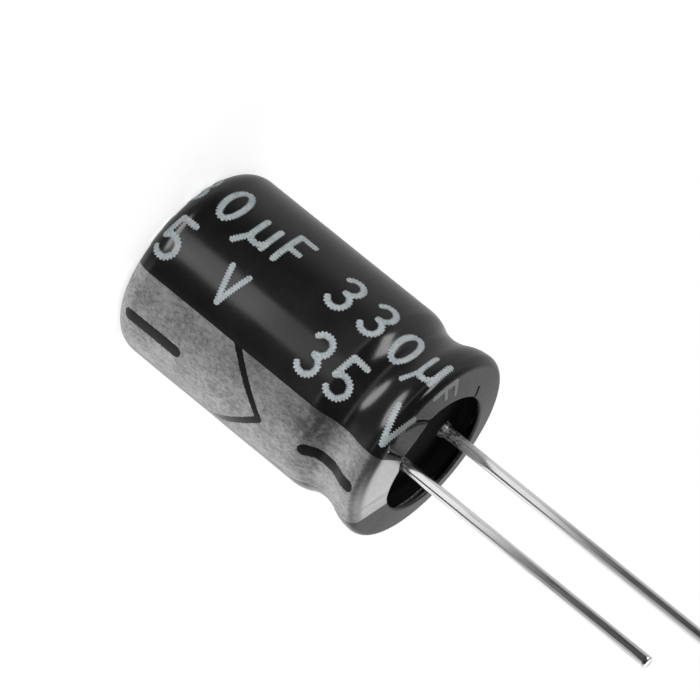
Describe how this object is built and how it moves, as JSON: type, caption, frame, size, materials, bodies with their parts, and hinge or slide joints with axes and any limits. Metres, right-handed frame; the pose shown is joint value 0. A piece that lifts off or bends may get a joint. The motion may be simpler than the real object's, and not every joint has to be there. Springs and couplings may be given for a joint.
{
  "type": "electrolytic capacitor",
  "caption": "Radial aluminium electrolytic capacitor: sleeved round can with a rolled groove, rubber bung and two parallel wire leads of unequal length.",
  "frame": {"origin": "centre of the closed end, which the part stands on", "axes": "+Z along the can's axis towards the leads, +X through the cathode lead, -X through the anode lead"},
  "size_m": [0.0105, 0.0104, 0.036],
  "materials": {
    "sleeve_plastic": "glossy near-black heat-shrink plastic",
    "can_aluminium": "satin drawn aluminium",
    "bung_rubber": "smooth black rubber",
    "winding_paper": "paper and etched foil soaked in electrolyte",
    "tape_plastic": "amber film tape",
    "tab_aluminium": "plain pressed aluminium",
    "tinned_wire": "bright tinned wire",
    "stripe_ink": "silver-grey ink, finely mottled",
    "figure_ink": "pale bluish grey ink"
  },
  "bodies": {
    "root": {"sleeve": "sleeve_plastic", "can": "can_aluminium", "rubber_bung": "bung_rubber", "wound_element": "winding_paper", "fixing_tape": "tape_plastic", "anode_tab": "tab_aluminium", "cathode_tab": "tab_aluminium", "anode_lead": "tinned_wire", "cathode_lead": "tinned_wire", "polarity_stripe": "stripe_ink", "rating_print": "figure_ink"}
  },
  "joints": []
}
